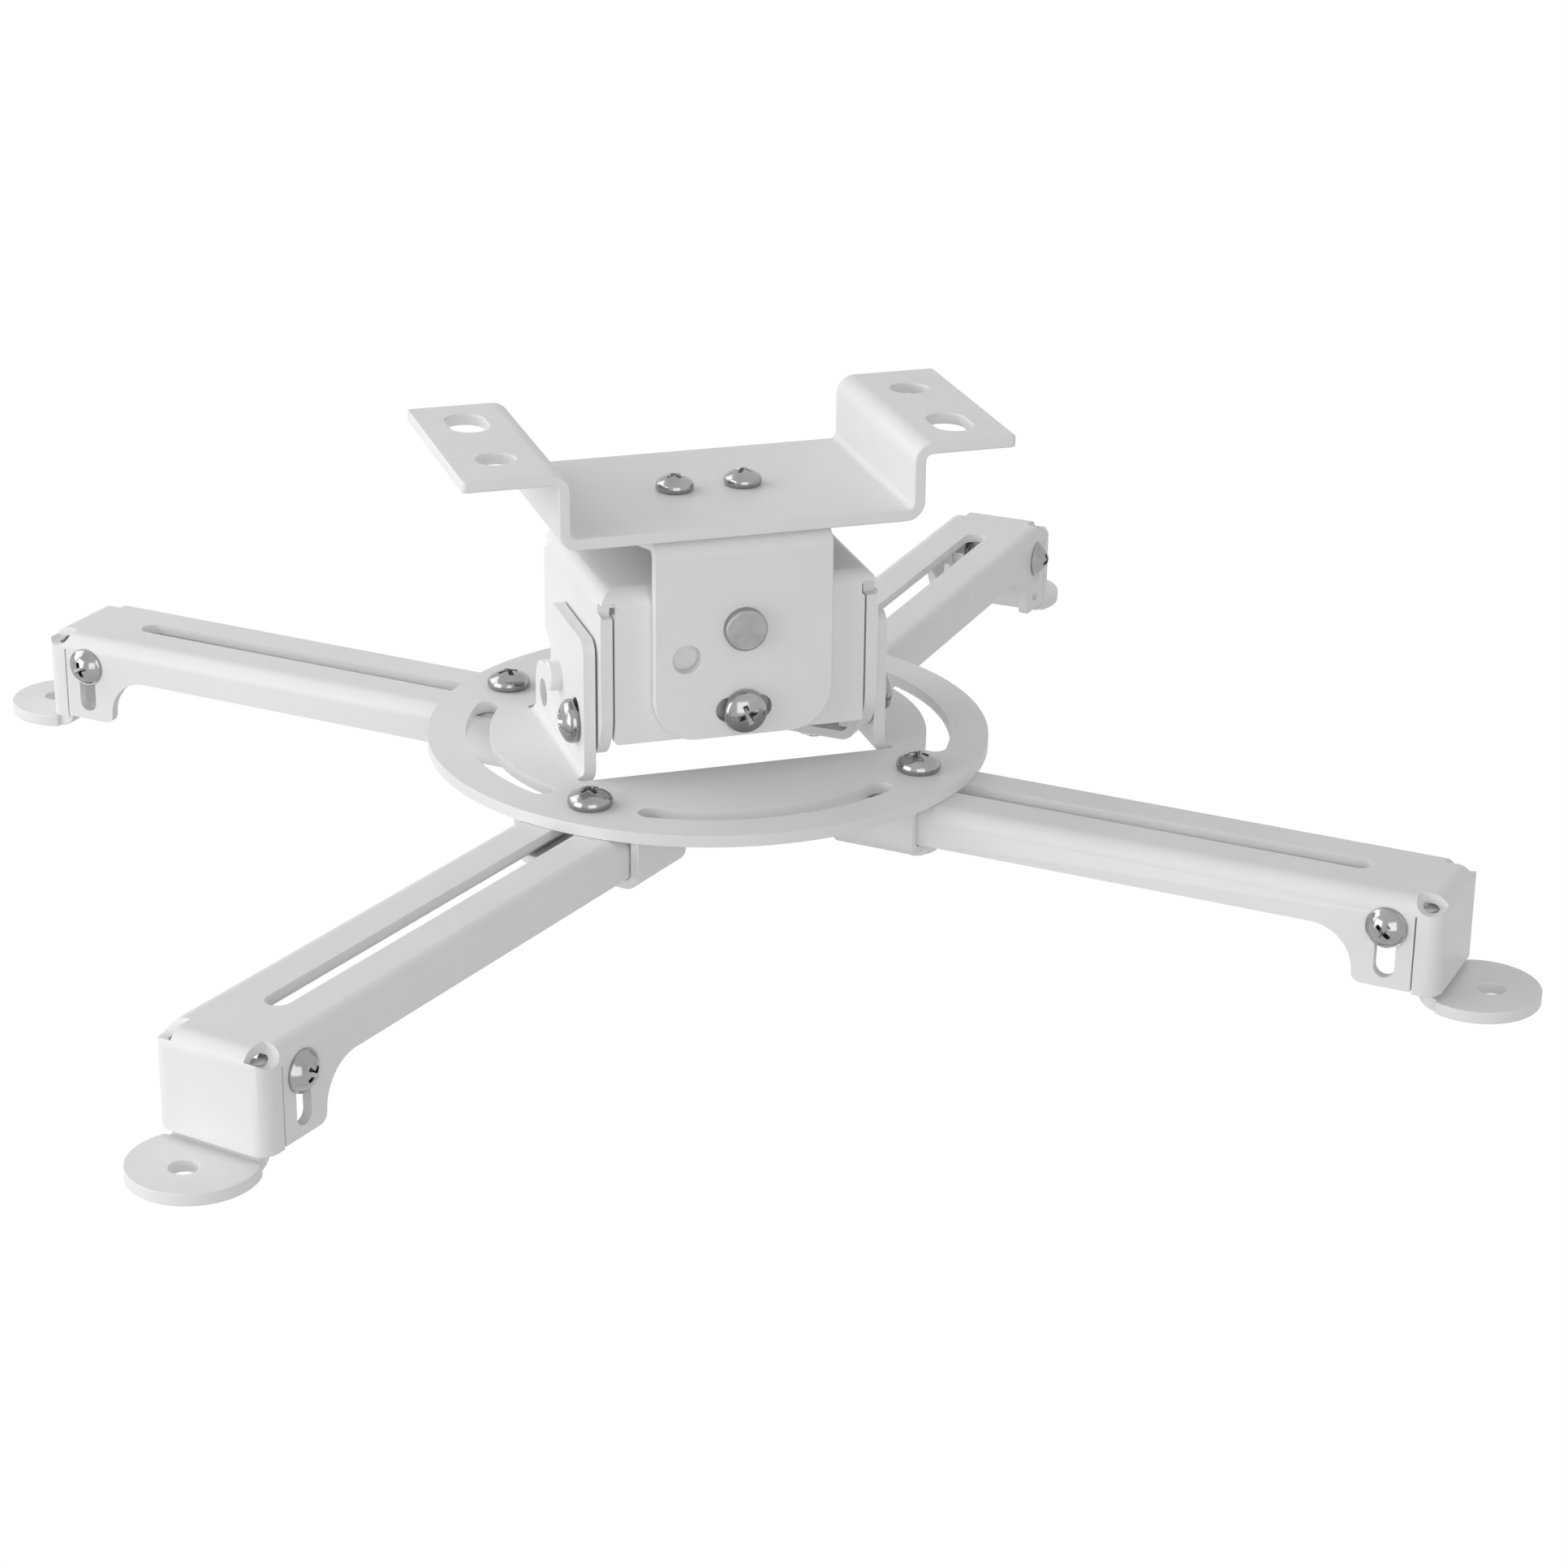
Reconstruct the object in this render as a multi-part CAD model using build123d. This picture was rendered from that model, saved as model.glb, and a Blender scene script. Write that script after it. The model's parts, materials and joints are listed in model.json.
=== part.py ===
from build123d import *
from math import asin, cos, degrees, radians, sin, sqrt, tan
import os

# Projector ceiling mount. Millimetres, Z up, front at -Y.
# The origin is the middle of the ceiling face, and the mount hangs below it.

# Sheet steel
SHEET = 2.5
THIN = 2.0
BEND = 1.5

# Clearances
RUNNING = 0.05
FREE = 0.15

# Screws, nuts and rivets
M5 = 5.0
M5_HEAD = 9.4
M5_HEAD_H = 3.7
M5_NUT = 8.0
M5_NUT_H = 4.0
M4 = 4.0
M4_HEAD = 8.1
M4_HEAD_H = 3.4
M4_NUT = 7.0
M4_NUT_H = 3.2
ROUND_HEAD = 8.5
ROUND_HEAD_H = 2.9
HEAD_SIDE = 0.45
TIP = 1.0
CROSS_L = 4.9
CROSS_W = 1.1
CROSS_DEPTH = 2.0
CROSS_END = 0.8
RIVET = 5.0
RIVET_HEAD = 9.0
RIVET_HEAD_H = 2.0
RIVET_RIM = 0.5
COLLAR = 8.0
COLLAR_H = 1.2

# Ceiling bracket
HAT_HALF = 38.8
HAT_DEPTH = 14.0
HAT_WIDTH = 52.2
FLANGE_HOLE_X = 48.4
FLANGE_HOLE_Y = 12.9
FLANGE_EDGE = 10.0
FLANGE_HOLE = 8.0
FLANGE_SLOT = 13.0
FLANGE_CORNER = 1.0
PLATE_SCREW_X = 7.4

# Tilt joint, between yoke and block
TILT_CLAMP_R = 18.0
TILT_SWING = 10.7
YOKE_HALF = 19.0
YOKE_RIM = 2.95
YOKE_CORNER = 9.0
WEB_FLARE = 3.5
FLARE_RUN = 7.0
FLARE_ROUND = 3.0
ADJUST_HOLE = 6.2
TILT_ADJUST_X = -12.2
TILT_ADJUST_Z = -5.8

# Middle block
BLOCK_HALF_X = 29.8
BLOCK_NUT_GAP = 2.8
BLOCK_RISE = 9.2
BLOCK_HEADROOM = 3.8
BLOCK_WALL_RIM = 6.1
BLOCK_SLIT = 0.45
BLOCK_RELIEF_W = 3.6
BLOCK_RELIEF_H = 3.1
BLOCK_RELIEF_ROUND = 0.8
BLOCK_RELIEF_DROP = 2.5
SIDE_DROP = 12.4
SIDE_BACK = 1.9
SIDE_STRAIGHT = 0.7
SIDE_FRONT_ROUND = 11.0
SIDE_BACK_ROUND = 2.5

# Roll joint, between block and disc bracket
ROLL_DROP = 16.5
ROLL_PIN = 6.3
ROLL_PIN_OUT = 2.6
ROLL_PIN_RIM = 0.5
ROLL_CLAMP_R = 14.6
ROLL_CLAMP_ANGLE = 20.4
ROLL_SWING = 10.8
EAR_GAP = 0.5
EAR_NOTCH = 1.8
EAR_RISE = 14.6
EAR_BACK = 7.0
EAR_ROUND = 3.0
EAR_HOLLOW = 5.0
LOBE_R = 7.0
ROLL_ADJUST_Y = 13.9
ROLL_ADJUST_Z = -9.0

# Disc
ROLL_RISE = 15.1
DISC_R = 60.0
WINDOW_ROUND = 0.8
ARC_SLOT_R = 49.3
ARC_SLOT_W = 5.1
ARC_SLOT_HALF = 33.0
ARM_SCREW_R = 50.0

# Arms
ARM_WIDTH = 25.8
ARM_WALL = 8.6
ARM_LENGTH = 133.0
ARM_GAP = 0.1
SLOT_OUTER = 18.5
SLOT_END = 7.3
LEG_STEP = 0.4
LEG_RIM = 2.05
LEG_REAR = 4.4
LEG_ROUND = 2.0
LEG_STRAIGHT = 0.1
TAB_WRAP = 5.3
SEAM = 0.35
CORNER_RELIEF_R = 3.3
CORNER_RELIEF_IN = 2.8
CORNER_RELIEF_RISE = 0.3
CORNER_RELIEF_DEEP = 4.6
LEG_SLOT_IN = 11.2
LEG_SLOT_DROP = 6.8
FOOT_TRAVEL = 8.7

# Feet
FOOT_R = 12.5
FOOT_OUT = 4.8
FOOT_HOLE = 5.5
FOOT_HOLE_OUT = 7.5
FOOT_DROP = 1.4
FOOT_REAR_GAP = 0.3
FOOT_SIDE_GAP = 0.1
WING_R = 4.2
WING_ROUND = 3.0
WING_GAP = 1.0

# Sleeves
SLEEVE_INNER = 12.5
SLEEVE_OUTER = 5.5
SLEEVE_GAP = 0.35

# Each arm: name, angle of its screw hole, angle of the arm, how far it is pushed in
ARMS = [
    ("front_left", 225.0, 221.5, 0.0),
    ("front_right", 315.0, 317.2, 6.0),
    ("back_left", 135.0, 136.5, 7.5),
    ("back_right", 45.0, 48.9, 1.5),
]

# Heights and widths that follow from the sizes above
PLATE_BOTTOM = -HAT_DEPTH - SHEET
BLOCK_TOP = PLATE_BOTTOM - SHEET - M4_NUT_H - TIP - BLOCK_HEADROOM
TILT_Z = BLOCK_TOP - BLOCK_RISE
ROLL_Z = TILT_Z - ROLL_DROP
ROLL_CLAMP_Y = -ROLL_CLAMP_R * cos(radians(ROLL_CLAMP_ANGLE))
ROLL_CLAMP_Z = ROLL_Z - ROLL_CLAMP_R * sin(radians(ROLL_CLAMP_ANGLE))
BLOCK_HALF_Y = M5_NUT / 2 / cos(radians(30)) + BLOCK_NUT_GAP + SHEET - ROLL_CLAMP_Y
YOKE_BOTTOM = TILT_Z - TILT_CLAMP_R - M5 / 2 - FREE - YOKE_RIM
YOKE_INNER = BLOCK_HALF_Y + FREE
YOKE_OUTER = YOKE_INNER + SHEET
BLOCK_WALL_BOTTOM = TILT_Z - TILT_CLAMP_R - BLOCK_WALL_RIM
EAR_INNER = BLOCK_HALF_X + EAR_GAP
EAR_OUTER = EAR_INNER + SHEET
DISC_TOP = ROLL_Z - ROLL_RISE
DISC_BOTTOM = DISC_TOP - SHEET
WINDOW_HALF_Y = ROLL_ADJUST_Y + LOBE_R + EAR_NOTCH
ARM_TOP = DISC_BOTTOM - ARM_GAP
ARM_HALF = ARM_WIDTH / 2
ARM_STOP = ARM_LENGTH - SLOT_END - M5 / 2 - FREE
LEG_DROP = LEG_SLOT_DROP + FOOT_TRAVEL + M4 / 2 + FREE + LEG_RIM
LEG_LENGTH = LEG_SLOT_IN + M4 / 2 + FREE + LEG_REAR
CAP_DROP = LEG_DROP + LEG_STEP
FOOT_TOP = -CAP_DROP - FOOT_DROP
CLAMP_SLOT = M5 + 2 * FREE
REACH = 400.0


def corner_gap(side_gap):
    """Gap from the floor of a fold that clears a square corner standing side_gap from its wall."""
    return BEND - sqrt(BEND ** 2 - (BEND - side_gap) ** 2) + FREE


SLEEVE_FLOOR = -ARM_WALL - corner_gap(SLEEVE_GAP)
WING_TOP = -THIN - corner_gap(FOOT_SIDE_GAP)


def rounded(points, radii):
    """Closed face through the points, with each corner rounded by its own radius."""
    corners = [Vector(*point) for point in points]
    tips = []
    for i, (corner, radius) in enumerate(zip(corners, radii)):
        back = (corners[i - 1] - corner).normalized()
        ahead = (corners[(i + 1) % len(corners)] - corner).normalized()
        if radius == 0:
            tips.append([corner])
            continue
        half = radians(back.get_angle(ahead)) / 2
        reach = radius / tan(half)
        middle = corner + (back + ahead).normalized() * (radius / sin(half) - radius)
        tips.append([corner + back * reach, middle, corner + ahead * reach])
    edges = [ThreePointArc(*tip) for tip in tips if len(tip) == 3]
    for i, tip in enumerate(tips):
        start = tip[-1]
        end = tips[(i + 1) % len(tips)][0]
        edges.append(Line(start, end))
    return make_face(edges)


def folded(points, thickness):
    """Section of a sheet folded along a line of points; the sheet is on the left of the line."""
    line = [Vector(*point) for point in points]
    normals = []
    for start, end in zip(line, line[1:]):
        run = (end - start).normalized()
        normals.append(Vector(-run.Y, run.X))
    far = [line[0] + normals[0] * thickness]
    near_radii = [0]
    far_radii = [0]
    for corner, first, second in zip(line[1:-1], normals, normals[1:]):
        far.append(corner + (first + second) * (thickness / (1 + first.dot(second))))
        turns_left = first.X * second.Y - first.Y * second.X > 0
        near_radii.append(BEND + thickness if turns_left else BEND)
        far_radii.append(BEND if turns_left else BEND + thickness)
    far.append(line[-1] + normals[-1] * thickness)
    near_radii.append(0)
    far_radii.append(0)
    points = [tuple(corner) for corner in line + far[::-1]]
    return rounded(points, near_radii + far_radii[::-1])


def along(plane, face, half):
    """The face carried both ways out of the plane by half."""
    return extrude(plane * face, half, both=True)


def arc_slot(centre, radius, middle, half, width):
    """Slot along an arc: half is the swing of its centre line to each side, in degrees."""
    return Pos(*centre) * SlotArc(CenterArc((0, 0), radius, middle - half, 2 * half), width)


def cross_recess():
    """Cutter for the cross in a screw head; its mouth is at z = 0."""
    bars = Box(CROSS_L, CROSS_W, CROSS_DEPTH) + Box(CROSS_W, CROSS_L, CROSS_DEPTH)
    taper = Cone(CROSS_END, CROSS_L / 2, CROSS_DEPTH)
    return Pos(0, 0, -CROSS_DEPTH / 2) * (bars & taper)


def screw(shank, head, head_h, length):
    """Pan head screw with its head above z = 0 and its shank below."""
    radius = head / 2
    side = HEAD_SIDE * head_h
    crown = head_h - side
    dome = (radius ** 2 + crown ** 2) / (2 * crown)
    half = asin(radius / dome) / 2
    middle = (dome * sin(half), head_h - dome + dome * cos(half))
    edges = [
        Line((0, 0), (radius, 0)),
        Line((radius, 0), (radius, side)),
        ThreePointArc((radius, side), middle, (0, head_h)),
        Line((0, head_h), (0, 0)),
    ]
    top = revolve(Plane.XZ * make_face(edges), Axis.Z)
    top = top - Pos(0, 0, head_h) * cross_recess()
    return top + Pos(0, 0, -length / 2) * Cylinder(shank / 2, length)


def nut(size, height, bore):
    """Hexagon nut standing on z = 0, its corners chamfered at both ends."""
    body = extrude(RegularPolygon(size / 2, 6, major_radius=False), height)
    corner = size / 2 / cos(radians(30))
    barrel = Pos(0, 0, height / 2) * Cylinder(corner, height)
    barrel = chamfer(barrel.edges().filter_by(GeomType.CIRCLE), (corner - size / 2) * 0.6, corner - size / 2)
    return (body & barrel) - Cylinder(bore / 2, 3 * height)


def pin(radius, rim, length):
    """Round pin below z = 0 with its upper rim rounded."""
    body = Pos(0, 0, -length / 2) * Cylinder(radius, length)
    return fillet(body.edges().filter_by(GeomType.CIRCLE).sort_by(Axis.Z)[-1], rim)


def facing_y(piece, x, y, z, side):
    """Put a piece that points up at x, y, z so that it points out of the front or the back."""
    turn = 90 if side < 0 else -90
    return Pos(x, side * y, z) * Rot(turn, 0, 0) * piece


def facing_x(piece, x, y, z, side):
    """Put a piece that points up at x, y, z so that it points out of the left or the right."""
    return Pos(side * x, y, z) * Rot(0, side * 90, 0) * piece


def on_arm(piece, hole_angle, angle, out):
    """Put a piece drawn along X below the arm's screw under the disc."""
    x = ARM_SCREW_R * cos(radians(hole_angle))
    y = ARM_SCREW_R * sin(radians(hole_angle))
    return Pos(x, y, 0) * Rot(0, 0, angle) * Pos(out, 0, 0) * piece


def ceiling_bracket():
    end = FLANGE_HOLE_X + FLANGE_EDGE
    inner = HAT_HALF - SHEET
    line = [
        (end, 0), (inner, 0), (inner, -HAT_DEPTH),
        (-inner, -HAT_DEPTH), (-inner, 0), (-end, 0),
    ]
    body = along(Plane.XZ, folded(line, SHEET), HAT_WIDTH / 2)
    uprights = body.edges().filter_by(Axis.Z).group_by(Axis.X)
    body = fillet(uprights[0] + uprights[-1], FLANGE_CORNER)
    for side in (-1, 1):
        hole = Pos(side * FLANGE_HOLE_X, side * FLANGE_HOLE_Y) * Circle(FLANGE_HOLE / 2)
        slot = SlotOverall(FLANGE_SLOT, FLANGE_HOLE, rotation=90)
        slot = Pos(side * FLANGE_HOLE_X, -side * FLANGE_HOLE_Y) * slot
        screw_hole = Pos(side * PLATE_SCREW_X, 0) * Circle(M4 / 2 + FREE)
        body -= along(Plane.XY, hole + slot + screw_hole, REACH)
    return body


def yoke():
    top = PLATE_BOTTOM
    line = [
        (YOKE_OUTER, YOKE_BOTTOM), (YOKE_OUTER, top),
        (-YOKE_OUTER, top), (-YOKE_OUTER, YOKE_BOTTOM),
    ]
    web_half = YOKE_HALF + WEB_FLARE
    body = along(Plane.YZ, folded(line, SHEET), web_half)
    neck = YOKE_OUTER - SHEET - BEND
    flare = neck - FLARE_RUN
    quarter = [(YOKE_HALF, YOKE_OUTER), (YOKE_HALF, neck), (web_half, flare)]
    outline = quarter + [(x, -y) for x, y in quarter[::-1]]
    outline += [(-x, y) for x, y in outline[::-1]]
    radii = [0, FLARE_ROUND, FLARE_ROUND, FLARE_ROUND, FLARE_ROUND, 0] * 2
    body &= along(Plane.XY, rounded(outline, radii), REACH)
    feet = body.edges().filter_by(Axis.Y).group_by(Axis.Z)[0]
    body = fillet(feet, YOKE_CORNER)
    pivot = Pos(0, TILT_Z) * Circle(RIVET / 2 + RUNNING)
    slot = arc_slot((0, TILT_Z), TILT_CLAMP_R, -90, TILT_SWING, CLAMP_SLOT)
    adjust = Pos(TILT_ADJUST_X, TILT_Z + TILT_ADJUST_Z) * Circle(ADJUST_HOLE / 2)
    body -= along(Plane.XZ, pivot + slot + adjust, REACH)
    for side in (-1, 1):
        body -= Pos(side * PLATE_SCREW_X, 0, top) * Cylinder(M4 / 2 + FREE, 4 * SHEET)
    return body


def plate_screws(side):
    length = 2 * SHEET + M4_NUT_H + TIP
    return Pos(side * PLATE_SCREW_X, 0, -HAT_DEPTH) * screw(M4, M4_HEAD, M4_HEAD_H, length)


def plate_nuts(side):
    bottom = PLATE_BOTTOM - SHEET - M4_NUT_H
    return Pos(side * PLATE_SCREW_X, 0, bottom) * nut(M4_NUT, M4_NUT_H, M4)


def tilt_rivets(side):
    body = Pos(0, 0, RIVET_HEAD_H) * pin(RIVET_HEAD / 2, RIVET_RIM, RIVET_HEAD_H)
    length = 2 * SHEET + FREE + COLLAR_H
    body += Pos(0, 0, -length / 2) * Cylinder(RIVET / 2, length)
    body += Pos(0, 0, -length + COLLAR_H / 2) * Cylinder(COLLAR / 2, COLLAR_H)
    return facing_y(body, 0, YOKE_OUTER, TILT_Z, side)


def tilt_clamp_screws(side):
    length = 2 * SHEET + FREE + M5_NUT_H + TIP
    body = screw(M5, M5_HEAD, M5_HEAD_H, length)
    return facing_y(body, 0, YOKE_OUTER, TILT_Z - TILT_CLAMP_R, side)


def tilt_clamp_nuts(side):
    body = nut(M5_NUT, M5_NUT_H, M5)
    inside = BLOCK_HALF_Y - SHEET - M5_NUT_H
    return facing_y(body, 0, inside, TILT_Z - TILT_CLAMP_R, side)


def box_form(half_x, half_y, top, bend):
    """Solid box open downward without end, its four upper edges rounded."""
    low = top - REACH
    across = rounded([(-half_x, low), (-half_x, top), (half_x, top), (half_x, low)], [0, bend, bend, 0])
    deep = rounded([(-half_y, low), (-half_y, top), (half_y, top), (half_y, low)], [0, bend, bend, 0])
    return along(Plane.XZ, across, half_y) & along(Plane.YZ, deep, half_x)


def tilt_block():
    inner_x = BLOCK_HALF_X - SHEET
    inner_y = BLOCK_HALF_Y - SHEET
    body = box_form(BLOCK_HALF_X, BLOCK_HALF_Y, BLOCK_TOP, BEND + SHEET)
    body -= box_form(inner_x, inner_y, BLOCK_TOP - SHEET, BEND)
    front = [
        (-inner_x, BLOCK_TOP), (inner_x, BLOCK_TOP),
        (inner_x, BLOCK_WALL_BOTTOM), (-inner_x, BLOCK_WALL_BOTTOM),
    ]
    walls = along(Plane.XZ, rounded(front, [0, 0, BEND, BEND]), BLOCK_HALF_Y)
    low = ROLL_Z - SIDE_DROP
    flat_end = SIDE_FRONT_ROUND + SIDE_STRAIGHT - BLOCK_HALF_Y
    outline = [
        (-BLOCK_HALF_Y, BLOCK_TOP), (-BLOCK_HALF_Y, low), (flat_end, low),
        (BLOCK_HALF_Y, ROLL_Z + SIDE_BACK), (BLOCK_HALF_Y, BLOCK_TOP),
    ]
    radii = [0, SIDE_FRONT_ROUND, 0, SIDE_BACK_ROUND, 0]
    sides = along(Plane.YZ, rounded(outline, radii), BLOCK_HALF_X)
    core = [(-inner_x, BLOCK_TOP + 1), (inner_x, BLOCK_TOP + 1), (inner_x, low - 1), (-inner_x, low - 1)]
    sides -= along(Plane.XZ, rounded(core, [0, 0, 0, 0]), REACH)
    body &= walls + sides
    relief_z = BLOCK_TOP - BLOCK_RELIEF_DROP - BLOCK_RELIEF_H / 2
    relief_x = inner_x + SHEET - BLOCK_RELIEF_W / 2
    for side in (-1, 1):
        x = side * (inner_x - BLOCK_SLIT / 2)
        slit = Pos(x, relief_z - REACH / 2) * Rectangle(BLOCK_SLIT, REACH)
        relief = RectangleRounded(BLOCK_RELIEF_W, BLOCK_RELIEF_H, BLOCK_RELIEF_ROUND)
        cut = along(Plane.XZ, slit + Pos(side * relief_x, relief_z) * relief, REACH)
        body -= cut - Box(REACH, 2 * inner_y, REACH)
    rivet = Pos(0, TILT_Z) * Circle(RIVET / 2)
    clamp = Pos(0, TILT_Z - TILT_CLAMP_R) * Circle(M5 / 2 + FREE)
    body -= along(Plane.XZ, rivet + clamp, REACH)
    roll_pin = Pos(0, ROLL_Z) * Circle(ROLL_PIN / 2)
    roll_clamp = Pos(ROLL_CLAMP_Y, ROLL_CLAMP_Z) * Circle(M5 / 2 + FREE)
    body -= along(Plane.YZ, roll_pin + roll_clamp, REACH)
    return body


def roll_pins(side):
    length = ROLL_PIN_OUT + SHEET + EAR_GAP + SHEET + COLLAR_H
    body = pin(ROLL_PIN / 2, ROLL_PIN_RIM, length)
    body += Pos(0, 0, -length + COLLAR_H / 2) * Cylinder(COLLAR / 2, COLLAR_H)
    return facing_x(body, EAR_OUTER + ROLL_PIN_OUT, 0, ROLL_Z, side)


def roll_clamp_screws(side):
    length = 2 * SHEET + EAR_GAP + M5_NUT_H + TIP
    body = screw(M5, M5_HEAD, M5_HEAD_H, length)
    return facing_x(body, EAR_OUTER, ROLL_CLAMP_Y, ROLL_CLAMP_Z, side)


def roll_clamp_nuts(side):
    body = nut(M5_NUT, M5_NUT_H, M5)
    inside = BLOCK_HALF_X - SHEET - M5_NUT_H
    return facing_x(body, inside, ROLL_CLAMP_Y, ROLL_CLAMP_Z, side)


def ear_outline():
    """Side view of an ear: a tall front and a low lobe round the adjusting hole behind it."""
    lobe = Vector(ROLL_ADJUST_Y, ROLL_Z + ROLL_ADJUST_Z)
    hollow_y = EAR_BACK + EAR_HOLLOW
    apart = LOBE_R + EAR_HOLLOW
    hollow = Vector(hollow_y, lobe.Y + sqrt(apart ** 2 - (hollow_y - lobe.X) ** 2))
    start = Vector(EAR_BACK, hollow.Y)
    meet = lobe + (hollow - lobe) * (LOBE_R / apart)
    end = lobe + Vector(LOBE_R, 0)
    in_hollow = hollow + ((start - hollow) + (meet - hollow)).normalized() * EAR_HOLLOW
    on_lobe = lobe + ((meet - lobe) + (end - lobe)).normalized() * LOBE_R
    low = Vector(end.X, DISC_BOTTOM)
    corner = Vector(EAR_BACK, DISC_BOTTOM)
    rear = make_face([
        ThreePointArc(start, in_hollow, meet), ThreePointArc(meet, on_lobe, end),
        Line(end, low), Line(low, corner), Line(corner, start),
    ])
    top = ROLL_Z + EAR_RISE
    front = EAR_NOTCH - WINDOW_HALF_Y
    tall = [(front, DISC_BOTTOM), (front, top), (EAR_BACK, top), (EAR_BACK, DISC_BOTTOM)]
    return rounded(tall, [0, EAR_ROUND, EAR_ROUND, 0]) + rear


def disc_bracket():
    body = Pos(0, 0, DISC_TOP - SHEET / 2) * Cylinder(DISC_R, SHEET)
    fold_end = EAR_OUTER + BEND
    window = RectangleRounded(2 * fold_end, 2 * WINDOW_HALF_Y, WINDOW_ROUND)
    body -= along(Plane.XY, window, REACH)
    top = ROLL_Z + EAR_RISE
    line = [(EAR_INNER, top), (EAR_INNER, DISC_BOTTOM), (fold_end + SHEET, DISC_BOTTOM)]
    ear = along(Plane.XZ, folded(line, SHEET), WINDOW_HALF_Y)
    ear &= along(Plane.YZ, ear_outline(), REACH)
    body += ear + mirror(ear, Plane.YZ)
    pivot = Pos(0, ROLL_Z) * Circle(ROLL_PIN / 2 + RUNNING)
    slot = arc_slot((0, ROLL_Z), ROLL_CLAMP_R, 180 + ROLL_CLAMP_ANGLE, ROLL_SWING, CLAMP_SLOT)
    adjust = Pos(ROLL_ADJUST_Y, ROLL_Z + ROLL_ADJUST_Z) * Circle(ADJUST_HOLE / 2)
    body -= along(Plane.YZ, pivot + slot + adjust, REACH)
    swing = ARC_SLOT_HALF - degrees(asin(ARC_SLOT_W / 2 / ARC_SLOT_R))
    cuts = Sketch()
    for turn in range(4):
        cuts += arc_slot((0, 0), ARC_SLOT_R, 90 * turn, swing, ARC_SLOT_W)
        cuts += Rot(0, 0, 45 + 90 * turn) * Pos(ARM_SCREW_R, 0) * Circle(M5 / 2 + RUNNING)
    body -= along(Plane.XY, cuts, REACH)
    return body


def arm_form(inset):
    """The arm as a solid block, grown inward by inset; its cap is at x = 0 and its top at z = 0."""
    bend = BEND + THIN - inset
    half = ARM_HALF - inset
    low = -2 * CAP_DROP
    back = -2 * ARM_LENGTH
    section = [(-half, low), (-half, -inset), (half, -inset), (half, low)]
    side = [(back, low), (back, -inset), (-inset, -inset), (-inset, low)]
    plan = [(back, -half), (back, half), (-inset, half), (-inset, -half)]
    body = along(Plane.YZ, rounded(section, [0, bend, bend, 0]), 2 * ARM_LENGTH)
    body &= along(Plane.XZ, rounded(side, [0, 0, bend, 0]), ARM_WIDTH)
    body &= along(Plane.XY, rounded(plan, [0, 0, bend, bend]), 2 * CAP_DROP)
    return body


def arm():
    """Arm folded from one sheet: a channel whose end cap wraps round into both side walls."""
    leg_bottom = -LEG_DROP
    outline = [
        (-ARM_LENGTH, 0), (0, 0), (0, -CAP_DROP), (-TAB_WRAP, -CAP_DROP), (-TAB_WRAP, leg_bottom),
        (-LEG_LENGTH, leg_bottom), (-LEG_LENGTH, -ARM_WALL), (-ARM_LENGTH, -ARM_WALL),
    ]
    hollow = LEG_DROP - ARM_WALL - LEG_ROUND - LEG_STRAIGHT
    radii = [0, 0, 0, 0, 0, LEG_ROUND, hollow, 0]
    body = arm_form(0) - arm_form(THIN)
    body &= along(Plane.XZ, rounded(outline, radii), ARM_WIDTH)
    seam_top = -BEND - THIN
    seam = Pos(-TAB_WRAP - SEAM / 2, seam_top - CAP_DROP) * Rectangle(SEAM, 2 * CAP_DROP)
    relief = Pos(-CORNER_RELIEF_IN, CORNER_RELIEF_RISE) * Circle(CORNER_RELIEF_R)
    opening = extrude(Plane.XZ * seam, THIN + BEND) + extrude(Plane.XZ * relief, CORNER_RELIEF_DEEP)
    opening = Pos(0, ARM_HALF, 0) * opening
    body -= opening + mirror(opening, Plane.XZ)
    leg_slot = SlotOverall(FOOT_TRAVEL + M4 + 2 * FREE, M4 + 2 * FREE, rotation=90)
    middle = -LEG_SLOT_DROP - FOOT_TRAVEL / 2
    body -= along(Plane.XZ, Pos(-LEG_SLOT_IN, middle) * leg_slot, ARM_WIDTH)
    slot_length = ARM_LENGTH - SLOT_OUTER - SLOT_END
    top_slot = SlotOverall(slot_length, CLAMP_SLOT)
    middle = -SLOT_OUTER - slot_length / 2
    body -= along(Plane.XY, Pos(middle, 0) * top_slot, THIN + BEND)
    return body


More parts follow.
